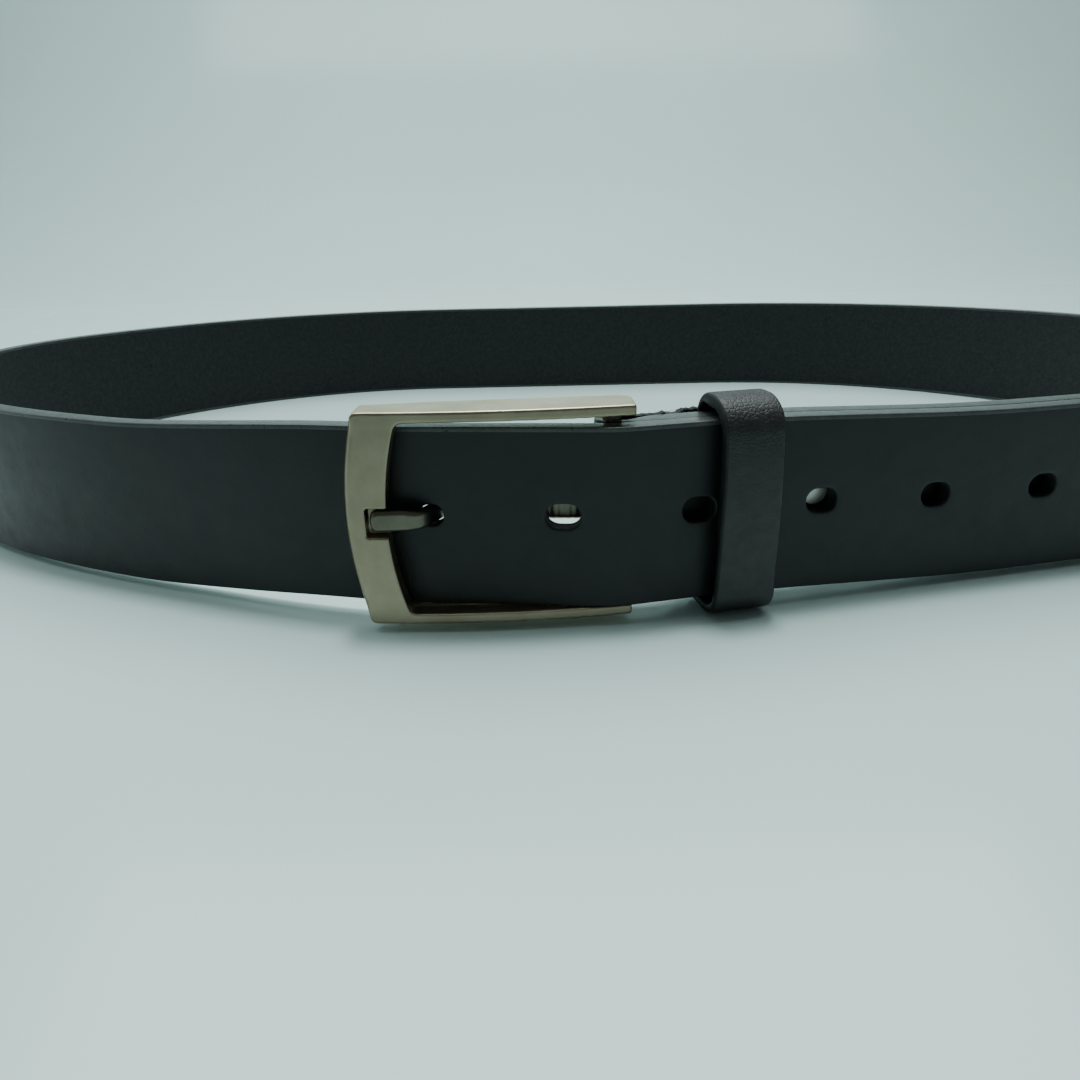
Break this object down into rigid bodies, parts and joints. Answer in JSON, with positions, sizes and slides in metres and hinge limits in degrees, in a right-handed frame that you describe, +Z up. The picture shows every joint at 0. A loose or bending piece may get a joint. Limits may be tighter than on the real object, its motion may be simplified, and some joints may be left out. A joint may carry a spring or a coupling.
{
  "type": "leather belt",
  "caption": "Single-layer leather dress belt with a prong buckle, keeper loop and riveted fold, buckled into its waist loop and standing on its edge.",
  "frame": {"origin": "centre of the belt's bounding box, on the surface it stands on", "axes": "+X to the right along the front, longest extent; +Y from the buckle towards the back of the waist; +Z up, across the strap's width"},
  "size_m": [0.3916, 0.2358, 0.0414],
  "materials": {
    "strap_leather": "fine-grained satin black leather with burnished edges",
    "keeper_leather": "pebbled black leather",
    "buckle_nickel": "brushed satin nickel with polished bevels",
    "rivet_nickel": "satin nickel",
    "staple_steel": "drawn wire"
  },
  "bodies": {
    "strap": {"strap": "strap_leather", "rivet_1_post": "rivet_nickel", "rivet_1_cap": "rivet_nickel", "rivet_2_post": "rivet_nickel", "rivet_2_cap": "rivet_nickel"},
    "free_end": {"strap_free_end": "strap_leather"},
    "buckle": {"buckle_frame": "buckle_nickel", "pin_bar": "buckle_nickel"},
    "prong": {"prong": "buckle_nickel"},
    "keeper": {"keeper_band": "keeper_leather", "keeper_staple_left": "staple_steel", "keeper_staple_right": "staple_steel"}
  },
  "joints": [
    {"name": "buckle_hinge", "type": "hinge", "parent": "strap", "child": "buckle", "pos_m": [-0.00297, -0.10944, 0.0205], "axis": [0, 0, 1], "range_deg": [-0.6, 1]},
    {"name": "prong_hinge", "type": "hinge", "parent": "buckle", "child": "prong", "pos_m": [-0.00297, -0.10944, 0.0205], "axis": [0, 0, 1], "range_deg": [0, 1.5]},
    {"name": "keeper_slide", "type": "slide", "parent": "strap", "child": "keeper", "axis": [0.9763, 0.2164, 0], "range_m": [-0.0015, 0.0015]},
    {"name": "free_end_flex", "type": "hinge", "parent": "strap", "child": "free_end", "pos_m": [0.04551, -0.10633, 0.0198], "axis": [0, 0, -1], "range_deg": [0, 35], "stiffness_Nm_per_rad": 0.02}
  ]
}
